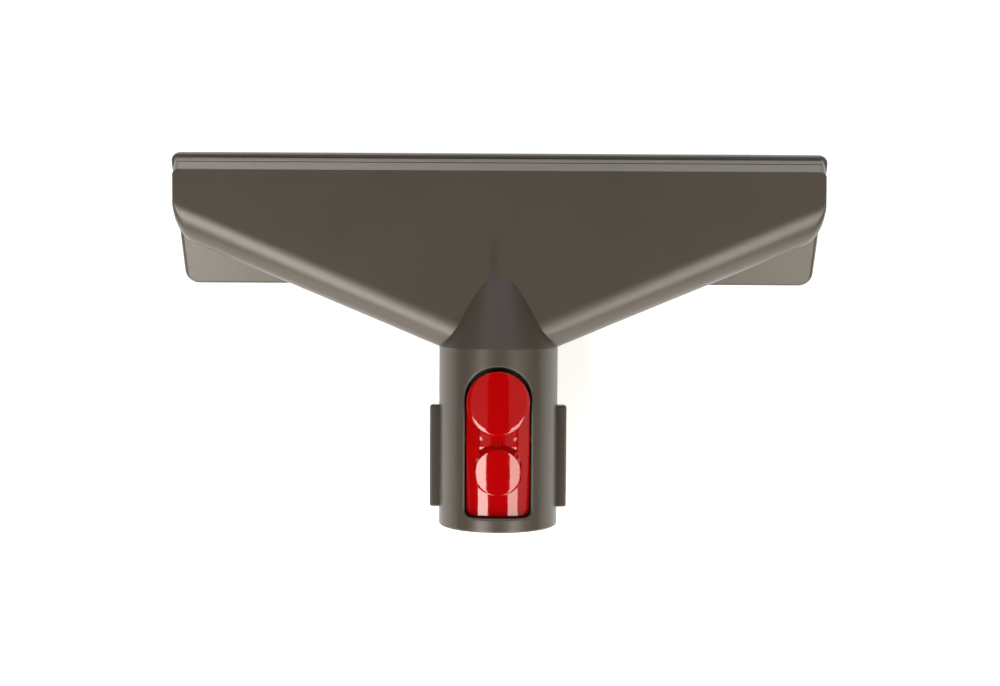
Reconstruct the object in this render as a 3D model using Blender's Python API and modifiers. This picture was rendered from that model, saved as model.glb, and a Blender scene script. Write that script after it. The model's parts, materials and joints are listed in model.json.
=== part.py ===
"""A wide upholstery nozzle for a vacuum cleaner, with a quick-release neck.

The fan and the neck are drawn in the neck frame: its origin is the middle of the crease where the
cone meets the round neck, +Y runs along the neck's axis towards the wide end, and +Z is the side
with the red catch. The sole is drawn in the sole frame, turned about X from the neck frame. An
empty tips the whole nozzle so that it lies as it comes to rest on a table: on the rear edge of its
sole and on the rim of its neck.
"""

import math

import bmesh
import bpy
from mathutils import Matrix, Vector

MM = 0.001

# Neck, measured from the crease towards the mouth
NECK_RADIUS = 19.0 * MM
NECK_LENGTH = 57.3 * MM
NECK_WALL = 3.0 * MM
MOUTH_ROUND = 0.8 * MM
MOUTH_LEAD_IN = 0.5 * MM

# Cone that carries the neck into the fan
CONE_TAPER = math.radians(20.7)
CONE_BURIED = 6.0 * MM

# Rails on both sides of the neck
RAIL_START = 18.8 * MM
RAIL_LENGTH = 32.7 * MM
RAIL_REACH = 2.9 * MM
RAIL_HEIGHT = 5.0 * MM
RAIL_ROUND = 0.7 * MM

# Fan
FAN_THICKNESS = 20.6 * MM
FAN_WIDTH = 205.0 * MM
FAN_WALL = 1.8 * MM
FAN_REACH = 55.5 * MM
FAN_SWEEP = math.radians(22.6)
FAN_CORNER = 9.0 * MM
FAN_FACE_CORNER = 1.5 * MM
FRONT_WALL = 5.5 * MM
FRONT_CORNER = 1.9 * MM
INSIDE_CORNER = 0.4 * MM

# Sole
SOLE_ANGLE = math.radians(31.0)
SOLE_WIDTH = 207.7 * MM
SOLE_LENGTH = 47.8 * MM
SOLE_THICKNESS = 3.0 * MM
SOLE_EDGE_FLAT = 0.2 * MM
SOLE_FLOOR = 1.8 * MM
SOLE_LEDGE = 2.05 * MM
SOLE_FRONT_CORNER = 3.0 * MM
SOLE_REAR_CORNER = 4.5 * MM
SLOT_LENGTH = 184.0 * MM
SLOT_WIDTH = 13.0 * MM
SLOT_CORNER = 5.0 * MM
SLOT_SETBACK = 7.0 * MM
SLOT_RIBS = 3
RIB_WIDTH = 1.6 * MM
RIB_RECESS = 0.9 * MM
RIM_WALL = 1.6 * MM
RIM_HEIGHT = 3.0 * MM

# Pocket of the catch, cut down through the neck to a flat floor
POCKET_WIDTH = 20.6 * MM
POCKET_START = 5.5 * MM
POCKET_END = 52.0 * MM
POCKET_CORNER = 2.2 * MM
POCKET_FLOOR = 11.8 * MM
FLOOR_THICKNESS = 1.6 * MM
BORE_FLAT_START = 3.0 * MM

# Catch
DISC_CENTRE = 16.7 * MM
DISC_RADIUS = 9.85 * MM
DISC_TOP = 19.4 * MM
DISC_CROWN = 26.0 * MM
DISC_ROUND = 0.6 * MM
DISC_UNDERSIDE = 14.4 * MM
LATCH_CENTRE = 38.2 * MM
LATCH_RADIUS = 7.05 * MM
LATCH_TOP = 17.72 * MM
LATCH_CROWN = 21.3 * MM
LATCH_ROUND = 0.2 * MM
LATCH_SLOPE = math.radians(5.5)
PLATE_TOP = 17.8 * MM
PLATE_CROWN = 17.8 * MM
PLATE_STEP = 24.0 * MM
PLATE_UNDERSIDE = 12.6 * MM
PLATE_CORNER = 1.8 * MM
RAMP_START = 29.5 * MM
RAMP_DROP = 1.3 * MM
SCOOP_WIDTH = 12.4 * MM
SCOOP_START = 20.0 * MM
SCOOP_END = 36.0 * MM
SCOOP_DEPTH = 0.6 * MM
PIVOT_PLACE = 28.5 * MM
PIVOT_HEIGHT = 13.3 * MM
TRUNNION_RADIUS = 1.0 * MM
TRUNNION_REACH = 0.9 * MM
HOOK_WIDTH = 6.0 * MM
HOOK_START = 46.0 * MM
HOOK_LENGTH = 3.6 * MM
HOOK_TIP = 1.1 * MM
HOOK_DEPTH = 1.6 * MM

# Spring of the catch
SPRING_PLACE = 14.0 * MM
SPRING_RADIUS = 2.2 * MM
SPRING_WIRE = 0.3 * MM
SPRING_TURNS = 4.5
SPRING_SEAT = 16.6 * MM
POST_HEIGHT = 1.0 * MM

# Fits
CLEARANCE = 0.3 * MM
CATCH_SIDE_GAP = 0.45 * MM
CATCH_END_GAP = 0.5 * MM
HOOK_GAP = 0.8 * MM

# Fineness of the curved faces
NECK_STEPS = 64
EDGE_STEPS = 14
CORNER_STEPS = 7
SMALL_CORNER_STEPS = 4
DISC_STEPS = 48
CROWN_STEPS = 12
SHARP_ANGLE = math.radians(30)

HALF_THICKNESS = FAN_THICKNESS / 2
SOLE_EDGE_ROUND = (SOLE_THICKNESS - SOLE_EDGE_FLAT) / 2
BORE_RADIUS = NECK_RADIUS - NECK_WALL
BORE_FLAT = POCKET_FLOOR - FLOOR_THICKNESS
CATCH_WIDTH = POCKET_WIDTH - 2 * CATCH_SIDE_GAP
CATCH_END = POCKET_END - CATCH_END_GAP
PIVOT = Vector((0, -PIVOT_PLACE, PIVOT_HEIGHT))
SOLE_ORIGIN = Vector(
    (
        0,
        FAN_REACH + FRONT_WALL * math.sin(SOLE_ANGLE),
        HALF_THICKNESS - FRONT_WALL * math.cos(SOLE_ANGLE),
    )
)


def clear_scene():
    for old in list(bpy.data.objects):
        bpy.data.objects.remove(old, do_unlink=True)


def new_collection(name):
    made = bpy.data.collections.new(name)
    bpy.context.scene.collection.children.link(made)
    return made


def new_empty(name, home, parent=None):
    empty = bpy.data.objects.new(name, None)
    home.objects.link(empty)
    empty.parent = parent
    return empty


def new_part(name, mesh, home, parent):
    """An object drawn in its parent's frame. The catch is drawn in the neck frame too, though
    its parent empty stands on the pivot."""
    part = bpy.data.objects.new(name, mesh)
    home.objects.link(part)
    part.parent = parent
    if parent is catch_frame:
        part.matrix_parent_inverse = Matrix.Translation(-PIVOT)
    return part


def new_cutter(name, mesh, parent):
    cutter = new_part(name, mesh, cutters, parent)
    cutter.hide_render = True
    cutter.display_type = "WIRE"
    return cutter


def combine(target, other, operation):
    modifier = target.modifiers.new(other.name, "BOOLEAN")
    modifier.operation = operation
    modifier.solver = "EXACT"
    modifier.object = other


def finish(name, colour, roughness, metallic=0.0):
    material = bpy.data.materials.new(name)
    material.use_nodes = True
    shader = material.node_tree.nodes["Principled BSDF"]
    shader.inputs["Base Color"].default_value = (*colour, 1)
    shader.inputs["Roughness"].default_value = roughness
    shader.inputs["Metallic"].default_value = metallic
    return material


def complete(part, material):
    """Applies the part's modifiers and shades it smooth up to its sharp edges."""
    bpy.context.view_layer.update()
    graph = bpy.context.evaluated_depsgraph_get()
    mesh = bpy.data.meshes.new_from_object(part.evaluated_get(graph))
    part.modifiers.clear()
    part.data = mesh
    mesh.materials.clear()
    mesh.materials.append(material)
    mesh.shade_smooth()
    mesh.set_sharp_from_angle(angle=SHARP_ANGLE)
    return part


def arc(centre, radius, start, end, steps=CORNER_STEPS):
    """Points on an arc from one angle to the other, both ends included."""
    points = []
    for step in range(steps + 1):
        angle = start + (end - start) * step / steps
        points.append(
            (centre[0] + radius * math.cos(angle), centre[1] + radius * math.sin(angle))
        )
    return points


def rounded_rectangle(left, right, rear, front, rear_corner, front_corner):
    quarter = math.pi / 2
    return [
        *arc((left + rear_corner, rear + rear_corner), rear_corner, 2 * quarter, 3 * quarter),
        *arc((right - rear_corner, rear + rear_corner), rear_corner, 3 * quarter, 4 * quarter),
        *arc((right - front_corner, front - front_corner), front_corner, 0, quarter),
        *arc((left + front_corner, front - front_corner), front_corner, quarter, 2 * quarter),
    ]


def prism(name, outline, low, high):
    """A flat outline in X and Y, given its thickness from low to high."""
    curve = bpy.data.curves.new(name, "CURVE")
    curve.dimensions = "2D"
    curve.fill_mode = "BOTH"
    curve.extrude = (high - low) / 2
    spline = curve.splines.new("POLY")
    spline.points.add(len(outline) - 1)
    for point, (x, y) in zip(spline.points, outline):
        point.co = (x, y, 0, 1)
    spline.use_cyclic_u = True
    guide = bpy.data.objects.new(name + "_outline", curve)
    cutters.objects.link(guide)
    bpy.context.view_layer.update()
    graph = bpy.context.evaluated_depsgraph_get()
    mesh = bpy.data.meshes.new_from_object(guide.evaluated_get(graph))
    bpy.data.objects.remove(guide, do_unlink=True)
    mesh.transform(Matrix.Translation((0, 0, (low + high) / 2)))
    return closed_up(mesh)


def closed_up(mesh):
    """Welds the loose edges of a mesh and turns its faces outwards."""
    bm = bmesh.new()
    bm.from_mesh(mesh)
    bmesh.ops.remove_doubles(bm, verts=bm.verts, dist=0.0001 * MM)
    bmesh.ops.recalc_face_normals(bm, faces=bm.faces)
    bm.to_mesh(mesh)
    bm.free()
    return mesh


def block(name, low, high):
    """A box between two opposite corners."""
    bm = bmesh.new()
    bmesh.ops.create_cube(bm, size=1)
    low, high = Vector(low), Vector(high)
    bm.transform(Matrix.Translation((low + high) / 2) @ Matrix.Diagonal((*(high - low), 1)))
    mesh = bpy.data.meshes.new(name)
    bm.to_mesh(mesh)
    bm.free()
    return mesh


def rod(name, radius, length, turn, steps):
    """A round bar centred on the origin, turned from Z by a matrix."""
    bm = bmesh.new()
    bmesh.ops.create_cone(
        bm, cap_ends=True, segments=steps, radius1=radius, radius2=radius, depth=length
    )
    bm.transform(turn)
    mesh = bpy.data.meshes.new(name)
    bm.to_mesh(mesh)
    bm.free()
    return mesh


def loft(name, rings):
    """A closed body through rings of points that all have the same number of points."""
    bm = bmesh.new()
    rows = [[bm.verts.new(point) for point in ring] for ring in rings]
    for lower, upper in zip(rows, rows[1:]):
        for i in range(len(lower)):
            j = (i + 1) % len(lower)
            bm.faces.new((lower[i], lower[j], upper[j], upper[i]))
    bm.faces.new(list(reversed(rows[0])))
    bm.faces.new(rows[-1])
    mesh = bpy.data.meshes.new(name)
    bm.to_mesh(mesh)
    bm.free()
    return closed_up(mesh)


def turned(name, profile, home, parent):
    """A profile of (radius, distance from the crease) turned about the neck's axis."""
    mesh = bpy.data.meshes.new(name)
    points = [(radius, -place, 0) for radius, place in profile]
    mesh.from_pydata(points, [(i, i + 1) for i in range(len(points) - 1)], [])
    part = new_part(name, mesh, home, parent)
    screw = part.modifiers.new("turn", "SCREW")
    screw.axis = "Y"
    screw.steps = NECK_STEPS
    screw.render_steps = NECK_STEPS
    screw.use_merge_vertices = True
    screw.merge_threshold = 0.01 * MM
    screw.use_normal_calculate = True
    return part


def fan_outline(inset, half_width, corner, front):
    """The fan from above, with its swept edges moved in by an inset."""
    rear = inset / math.cos(FAN_SWEEP) - NECK_RADIUS * math.tan(FAN_SWEEP)
    turn = math.pi / 2 - FAN_SWEEP
    wall_end = rear + half_width * math.tan(FAN_SWEEP) + corner * math.tan(turn / 2)
    left = arc((corner - half_width, wall_end), corner, math.pi, math.pi + turn)
    right = [(-x, y) for x, y in reversed(left)]
    return [(-half_width, front), *left, (0, rear), *right, (half_width, front)]


def fan_form(name, offset):
    """The fan as a solid, with every face moved in by an offset. Its swept edges are half round."""
    radius = HALF_THICKNESS - offset
    rings = []
    for step in range(EDGE_STEPS + 1):
        angle = math.pi * (step / EDGE_STEPS - 0.5)
        inset = offset + radius * (1 - math.cos(angle))
        corner = FAN_FACE_CORNER + (FAN_CORNER - FAN_FACE_CORNER - offset) * math.cos(angle)
        outline = fan_outline(inset, FAN_WIDTH / 2 - offset, corner, FAN_REACH + 2 * FAN_THICKNESS)
        rings.append([(x, y, radius * math.sin(angle)) for x, y in outline])
    return loft(name, rings)


def fan_trim(name, offset, low, high):
    """What lies behind the fan's front wall and between two heights over the sole."""
    outline = rounded_rectangle(
        offset - FAN_WIDTH / 2,
        FAN_WIDTH / 2 - offset,
        -2 * FAN_REACH,
        -offset,
        FRONT_CORNER,
        max(FRONT_CORNER - offset, INSIDE_CORNER),
    )
    return new_cutter(name, prism(name, outline, low, high), sole_frame)


def trimmed_fan(name, offset, low, high):
    """The fan's form moved in by an offset, between two heights over the sole."""
    form = new_cutter(name, fan_form(name, offset), neck_frame)
    combine(form, fan_trim(name + "_trim", offset, low, high), "INTERSECT")
    return form


def neck_profile(radius, rim):
    """The outside or inside of cone and neck, closed at both ends on the axis. The rim is the
    profile's own course at the mouth."""
    cone_length = (NECK_RADIUS - HALF_THICKNESS) / math.tan(CONE_TAPER) + CONE_BURIED
    tip = radius - cone_length * math.tan(CONE_TAPER)
    return [(0, -cone_length), (tip, -cone_length), (radius, 0), *rim, (0, rim[-1][1])]


def make_body_shell():
    shell = new_part("body_shell", fan_form("body_shell", 0), parts, neck_frame)
    tall = 3 * FAN_REACH
    combine(shell, fan_trim("fan_trim", 0, CLEARANCE, tall), "INTERSECT")

    round_centre = (NECK_RADIUS - MOUTH_ROUND, NECK_LENGTH - MOUTH_ROUND)
    rounded = arc(round_centre, MOUTH_ROUND, 0, math.pi / 2, SMALL_CORNER_STEPS)
    outside = turned("neck_outside", neck_profile(NECK_RADIUS, rounded), cutters, neck_frame)
    combine(shell, hidden(outside), "UNION")
    for side, name in ((-1, "rail_left"), (1, "rail_right")):
        combine(shell, make_rail(name, side), "UNION")

    combine(shell, trimmed_fan("fan_hollow", FAN_WALL, -FAN_WALL, tall), "DIFFERENCE")

    lead_in = [
        (BORE_RADIUS, NECK_LENGTH - MOUTH_LEAD_IN),
        (BORE_RADIUS + MOUTH_LEAD_IN, NECK_LENGTH),
        (BORE_RADIUS + MOUTH_LEAD_IN, NECK_LENGTH + NECK_WALL),
    ]
    bore = turned("bore", neck_profile(BORE_RADIUS, lead_in), cutters, neck_frame)
    flat = block(
        "bore_flat",
        (-NECK_RADIUS, -2 * NECK_LENGTH, BORE_FLAT),
        (NECK_RADIUS, -BORE_FLAT_START, 2 * NECK_RADIUS),
    )
    combine(hidden(bore), new_cutter("bore_flat", flat, neck_frame), "DIFFERENCE")
    combine(shell, bore, "DIFFERENCE")
    cut_pocket(shell)
    return complete(shell, finish("moulded_grey_brown", (0.085, 0.072, 0.058), 0.42))


def hidden(cutter):
    cutter.hide_render = True
    cutter.display_type = "WIRE"
    return cutter


def make_rail(name, side):
    inner = side * (NECK_RADIUS - NECK_WALL / 2)
    outer = side * (NECK_RADIUS + RAIL_REACH)
    mesh = block(
        name,
        (min(inner, outer), -RAIL_START - RAIL_LENGTH, -RAIL_HEIGHT / 2),
        (max(inner, outer), -RAIL_START, RAIL_HEIGHT / 2),
    )
    rail = new_cutter(name, mesh, neck_frame)
    bevel = rail.modifiers.new("round", "BEVEL")
    bevel.width = RAIL_ROUND
    bevel.segments = 2
    return rail


def cut_pocket(shell):
    half = POCKET_WIDTH / 2
    outline = [
        *arc((0, -POCKET_START - half), half, 0, math.pi, 2 * CORNER_STEPS),
        *arc(
            (POCKET_CORNER - half, POCKET_CORNER - POCKET_END),
            POCKET_CORNER,
            math.pi,
            1.5 * math.pi,
            SMALL_CORNER_STEPS,
        ),
        *arc(
            (half - POCKET_CORNER, POCKET_CORNER - POCKET_END),
            POCKET_CORNER,
            1.5 * math.pi,
            2 * math.pi,
            SMALL_CORNER_STEPS,
        ),
    ]
    pocket = prism("catch_pocket", outline, POCKET_FLOOR, 2 * NECK_RADIUS)
    combine(shell, new_cutter("catch_pocket", pocket, neck_frame), "DIFFERENCE")

    window = block(
        "hook_window",
        (
            -HOOK_WIDTH / 2 - CATCH_SIDE_GAP,
            -HOOK_START - HOOK_LENGTH - HOOK_GAP,
            BORE_FLAT - FLOOR_THICKNESS,
        ),
        (
            HOOK_WIDTH / 2 + CATCH_SIDE_GAP,
            -HOOK_START + HOOK_GAP,
            POCKET_FLOOR + FLOOR_THICKNESS,
        ),
    )
    combine(shell, new_cutter("hook_window", window, neck_frame), "DIFFERENCE")

    seats = rod(
        "trunnion_seats",
        TRUNNION_RADIUS + CLEARANCE,
        CATCH_WIDTH + 2 * (TRUNNION_REACH + CATCH_SIDE_GAP),
        Matrix.Rotation(math.pi / 2, 4, "Y"),
        20,
    )
    seats.transform(Matrix.Translation(PIVOT))
    combine(shell, new_cutter("trunnion_seats", seats, neck_frame), "DIFFERENCE")

    post_sink = FLOOR_THICKNESS / 2
    post = rod(
        "spring_post",
        SPRING_RADIUS - SPRING_WIRE - CLEARANCE,
        POST_HEIGHT + post_sink,
        Matrix.Identity(4),
        20,
    )
    middle = POCKET_FLOOR + (POST_HEIGHT - post_sink) / 2
    post.transform(Matrix.Translation((0, -SPRING_PLACE, middle)))
    combine(shell, new_cutter("spring_post", post, neck_frame), "UNION")


def make_sole_plate():
    rear = SOLE_LEDGE - SOLE_LENGTH
    half = SOLE_WIDTH / 2
    outline = rounded_rectangle(
        -half, half, rear, SOLE_LEDGE, SOLE_REAR_CORNER, SOLE_FRONT_CORNER
    )
    sole = new_part(
        "sole_plate", prism("sole_plate", outline, -SOLE_THICKNESS, 0), parts, sole_frame
    )
    bevel = sole.modifiers.new("bull_nose", "BEVEL")
    bevel.width = SOLE_EDGE_ROUND
    bevel.segments = 5
    bevel.limit_method = "ANGLE"
    bevel.angle_limit = math.radians(60)
    bevel.use_clamp_overlap = False

    # An upstand fits inside the fan's wall all the way round, and the floor inside it is thinner.
    rim_inset = FAN_WALL + CLEARANCE
    rim = trimmed_fan("locating_rim", rim_inset, -SOLE_THICKNESS / 2, RIM_HEIGHT)
    combine(sole, rim, "UNION")
    space = trimmed_fan(
        "rim_space", rim_inset + RIM_WALL, SOLE_FLOOR - SOLE_THICKNESS, RIM_HEIGHT + SOLE_THICKNESS
    )
    combine(sole, space, "DIFFERENCE")

    slot_rear = -SLOT_SETBACK - SLOT_WIDTH
    slot_outline = rounded_rectangle(
        -SLOT_LENGTH / 2, SLOT_LENGTH / 2, slot_rear, -SLOT_SETBACK, SLOT_CORNER, SLOT_CORNER
    )
    slot = prism("suction_slot", slot_outline, -2 * SOLE_THICKNESS, SOLE_THICKNESS)
    combine(sole, new_cutter("suction_slot", slot, sole_frame), "DIFFERENCE")
    for number in range(SLOT_RIBS):
        place = SLOT_LENGTH * ((number + 1) / (SLOT_RIBS + 1) - 0.5)
        rib = block(
            "slot_rib",
            (place - RIB_WIDTH / 2, slot_rear - RIB_WIDTH, RIB_RECESS - SOLE_THICKNESS),
            (place + RIB_WIDTH / 2, RIB_WIDTH - SLOT_SETBACK, RIB_RECESS),
        )
        combine(sole, new_cutter("slot_rib_%d" % (number + 1), rib, sole_frame), "UNION")
    return complete(sole, finish("sole_grey_brown", (0.085, 0.072, 0.058), 0.36))


def section(place, width, top, crown, bottom):
    """One upright section across the catch: a flat underside and a crowned top."""
    half = width / 2
    ring = [(-half, -place, bottom), (half, -place, bottom)]
    for step in range(CROWN_STEPS + 1):
        x = half - width * step / CROWN_STEPS
        drop = crown - math.sqrt(crown**2 - x**2)
        ring.append((x, -place, top - drop))
    return ring


def crowned_disc(name, radius, rim_round, place, top, crown, slope):
    """A round pad with a rounded rim. Its top is part of a large cylinder along the neck, and
    may slope down to the mouth."""
    bottom = PLATE_UNDERSIDE + CLEARANCE
    around = [2 * math.pi * i / DISC_STEPS for i in range(DISC_STEPS)]

    def ring(reach, drop):
        points = []
        for angle in around:
            x, y = reach * math.cos(angle), reach * math.sin(angle)
            fall = crown - math.sqrt(crown**2 - x**2)
            points.append((x, y - place, top - fall + y * math.tan(slope) - drop))
        return points

    rings = [[(x, y, bottom) for x, y, _ in ring(radius, 0)]]
    for inset, height in arc((0, 0), rim_round, 0, math.pi / 2, SMALL_CORNER_STEPS):
        rings.append(ring(radius - rim_round + inset, rim_round - height))
    for step in range(CROWN_STEPS // 2, 0, -1):
        share = (step - 0.5) / (CROWN_STEPS // 2)
        rings.append(ring((radius - rim_round) * share, 0))
    return new_cutter(name, loft(name, rings), catch_frame)


def plate_height(place):
    """Height of the crown's middle: level beside the thumb disc, then a ramp to the mouth end."""
    return PLATE_TOP - RAMP_DROP * max(0, place - RAMP_START) / (CATCH_END - RAMP_START)


def make_release_catch():
    half = CATCH_WIDTH / 2
    stations = (DISC_CENTRE - DISC_RADIUS - CLEARANCE, RAMP_START, CATCH_END + CLEARANCE)
    width = CATCH_WIDTH + CLEARANCE
    rings = [
        section(place, width, plate_height(place), PLATE_CROWN, PLATE_UNDERSIDE)
        for place in stations
    ]
    catch = new_part("release_catch", loft("release_catch", rings), parts, catch_frame)

    # A shallow scoop between the two discs, both of which stand in it
    floor_crown = PLATE_CROWN - SCOOP_DEPTH
    rings = [
        section(place, SCOOP_WIDTH, plate_height(place) - SCOOP_DEPTH, floor_crown, 2 * NECK_RADIUS)
        for place in (SCOOP_START, RAMP_START, SCOOP_END)
    ]
    combine(catch, new_cutter("scoop", loft("scoop", rings), catch_frame), "DIFFERENCE")

    corner_row = PLATE_CORNER - CATCH_END
    corner_place = half - PLATE_CORNER
    quarter = math.pi / 2
    outline = [
        *arc((0, -DISC_CENTRE), half, 0, 2 * quarter, DISC_STEPS // 2),
        *arc(
            (-corner_place, corner_row), PLATE_CORNER, 2 * quarter, 3 * quarter, SMALL_CORNER_STEPS
        ),
        *arc(
            (corner_place, corner_row), PLATE_CORNER, 3 * quarter, 4 * quarter, SMALL_CORNER_STEPS
        ),
    ]
    trim = prism("catch_outline", outline, 0, 2 * NECK_RADIUS)
    combine(catch, new_cutter("catch_outline", trim, catch_frame), "INTERSECT")

    thumb_disc = crowned_disc(
        "thumb_disc", DISC_RADIUS, DISC_ROUND, DISC_CENTRE, DISC_TOP, DISC_CROWN, 0
    )
    combine(catch, thumb_disc, "UNION")
    latch_disc = crowned_disc(
        "latch_disc", LATCH_RADIUS, LATCH_ROUND, LATCH_CENTRE, LATCH_TOP, LATCH_CROWN, LATCH_SLOPE
    )
    combine(catch, latch_disc, "UNION")

    undercut = block(
        "disc_undercut",
        (-CATCH_WIDTH, -PLATE_STEP, 0),
        (CATCH_WIDTH, 0, DISC_UNDERSIDE),
    )
    combine(catch, new_cutter("disc_undercut", undercut, catch_frame), "DIFFERENCE")

    trunnions = rod(
        "trunnions",
        TRUNNION_RADIUS,
        CATCH_WIDTH + 2 * TRUNNION_REACH,
        Matrix.Rotation(math.pi / 2, 4, "Y"),
        20,
    )
    trunnions.transform(Matrix.Translation(PIVOT))
    combine(catch, new_cutter("trunnions", trunnions, catch_frame), "UNION")

    combine(catch, make_hook(), "UNION")

    recess_radius = SPRING_RADIUS + SPRING_WIRE + 2 * CLEARANCE
    recess = rod(
        "spring_recess", recess_radius, SPRING_SEAT - PLATE_UNDERSIDE, Matrix.Identity(4), 24
    )
    middle = (SPRING_SEAT + PLATE_UNDERSIDE) / 2
    recess.transform(Matrix.Translation((0, -SPRING_PLACE, middle)))
    combine(catch, new_cutter("spring_recess", recess, catch_frame), "DIFFERENCE")
    return complete(catch, finish("glossy_red", (0.43, 0.004, 0.008), 0.12))


def make_hook():
    """The latch under the mouth end: square on its inner side, with a lead-in towards the mouth."""
    top = PLATE_UNDERSIDE + CLEARANCE
    tip = BORE_FLAT - HOOK_DEPTH
    side = [
        (-HOOK_START, tip),
        (-HOOK_START, top),
        (-HOOK_START - HOOK_LENGTH, top),
        (-HOOK_START - HOOK_LENGTH, BORE_FLAT),
        (-HOOK_START - HOOK_TIP, tip),
    ]
    mesh = prism("catch_hook", side, -HOOK_WIDTH / 2, HOOK_WIDTH / 2)
    mesh.transform(Matrix(((0, 0, 1, 0), (1, 0, 0, 0), (0, 1, 0, 0), (0, 0, 0, 1))))
    return new_cutter("catch_hook", mesh, catch_frame)


def make_catch_spring():
    """A coil with its end turns flat, between the pocket's floor and the recess in the catch."""
    low = POCKET_FLOOR + CLEARANCE + SPRING_WIRE
    high = SPRING_SEAT - CLEARANCE - SPRING_WIRE
    per_turn = 16
    total = int(SPRING_TURNS * per_turn)
    curve = bpy.data.curves.new("catch_spring", "CURVE")
    curve.dimensions = "3D"
    curve.bevel_depth = SPRING_WIRE
    curve.bevel_resolution = 2
    curve.use_fill_caps = True
    spline = curve.splines.new("POLY")
    spline.points.add(total)
    for i, point in enumerate(spline.points):
        angle = 2 * math.pi * i / per_turn
        rise = i / total
        point.co = (
            SPRING_RADIUS * math.cos(angle),
            SPRING_RADIUS * math.sin(angle),
            low + (high - low) * rise,
            1,
        )
    spring = bpy.data.objects.new("catch_spring", curve)
    parts.objects.link(spring)
    spring.parent = neck_frame
    spring.location = (0, -SPRING_PLACE, 0)
    curve.materials.append(finish("spring_steel", (0.55, 0.55, 0.56), 0.3, 1.0))
    return spring


def rest_tilt():
    """The angle at which the sole's rear edge and the neck's rim both touch the table."""
    edge = Vector(
        (SOLE_LEDGE - SOLE_LENGTH + SOLE_EDGE_ROUND, SOLE_EDGE_ROUND - SOLE_THICKNESS)
    )
    cos, sin = math.cos(SOLE_ANGLE), math.sin(SOLE_ANGLE)
    heel = Vector(
        (
            SOLE_ORIGIN.y + edge.x * cos - edge.y * sin,
            SOLE_ORIGIN.z + edge.x * sin + edge.y * cos,
        )
    )
    rim = Vector((MOUTH_ROUND - NECK_LENGTH, MOUTH_ROUND - NECK_RADIUS))
    across = heel - rim
    rounds = SOLE_EDGE_ROUND - MOUTH_ROUND
    return math.asin(rounds / across.length) - math.atan2(across.y, across.x)


def stand_on_table():
    """Moves the nozzle so that the origin is under the middle of its bounding box."""
    bpy.context.view_layer.update()
    graph = bpy.context.evaluated_depsgraph_get()
    points = []
    for part in parts.objects:
        evaluated = part.evaluated_get(graph)
        mesh = evaluated.to_mesh()
        points += [evaluated.matrix_world @ vertex.co for vertex in mesh.vertices]
        evaluated.to_mesh_clear()
    ends = [[min(p[i] for p in points), max(p[i] for p in points)] for i in range(3)]
    neck_frame.location = (0, -sum(ends[1]) / 2, -ends[2][0])


clear_scene()
parts = new_collection("upholstery_nozzle")
cutters = new_collection("cutters")
neck_frame = new_empty("neck_frame", cutters)
neck_frame.rotation_euler = (rest_tilt(), 0, 0)
sole_frame = new_empty("sole_frame", cutters, neck_frame)
sole_frame.location = SOLE_ORIGIN
sole_frame.rotation_euler = (SOLE_ANGLE, 0, 0)
catch_frame = new_empty("catch_frame", cutters, neck_frame)
catch_frame.location = PIVOT

make_body_shell()
make_sole_plate()
make_release_catch()
make_catch_spring()
stand_on_table()
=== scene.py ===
# %% [markdown]
# # A wide upholstery nozzle, dressed for its picture
# The nozzle is four real pieces: a grey-brown shell, a sole plate of the same plastic, a polished
# red catch, and the small steel spring under it. Their places and their motion come fixed from an
# engineering model. This lesson makes the fine surfaces that the camera sees, gives them their
# finishes and lights them like a catalogue photograph.

# %% Load the fixed frame
import json
import math

import bmesh
import bpy
from mathutils import Matrix, Vector


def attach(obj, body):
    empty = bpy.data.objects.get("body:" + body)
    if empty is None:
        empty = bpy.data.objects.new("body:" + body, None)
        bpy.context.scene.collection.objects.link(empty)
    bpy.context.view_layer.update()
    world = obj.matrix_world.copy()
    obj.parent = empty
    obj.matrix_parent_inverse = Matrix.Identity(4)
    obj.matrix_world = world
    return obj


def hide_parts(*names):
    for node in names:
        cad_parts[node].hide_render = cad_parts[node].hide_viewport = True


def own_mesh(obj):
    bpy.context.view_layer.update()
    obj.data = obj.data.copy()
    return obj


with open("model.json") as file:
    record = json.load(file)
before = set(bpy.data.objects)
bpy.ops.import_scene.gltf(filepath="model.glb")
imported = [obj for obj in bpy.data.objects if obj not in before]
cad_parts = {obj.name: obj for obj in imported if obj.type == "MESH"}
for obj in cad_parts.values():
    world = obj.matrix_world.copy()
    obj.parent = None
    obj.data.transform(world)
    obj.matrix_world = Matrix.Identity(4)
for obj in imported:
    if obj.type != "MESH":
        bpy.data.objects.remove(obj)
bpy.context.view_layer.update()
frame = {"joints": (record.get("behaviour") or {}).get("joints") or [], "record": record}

# %% [markdown]
# ## Where things are
# The shell and the catch are easiest to draw in the neck's own frame: the origin is the middle of
# the crease where the cone meets the round neck, +Y runs along the neck towards the wide end, and
# +Z is the side with the catch. The record says where the hinge of the catch is and which way the
# mouth of the neck looks, and that fixes this frame. The sole is drawn on its own slanted plane.

# %% Frames worked out from the record
MM = 0.001
PIVOT_PLACE = 28.5 * MM
PIVOT_HEIGHT = 13.3 * MM
FAN_REACH = 55.5 * MM
FAN_THICKNESS = 20.6 * MM
HALF_THICKNESS = FAN_THICKNESS / 2
FRONT_WALL = 5.5 * MM
SOLE_ANGLE = math.radians(31.0)

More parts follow.
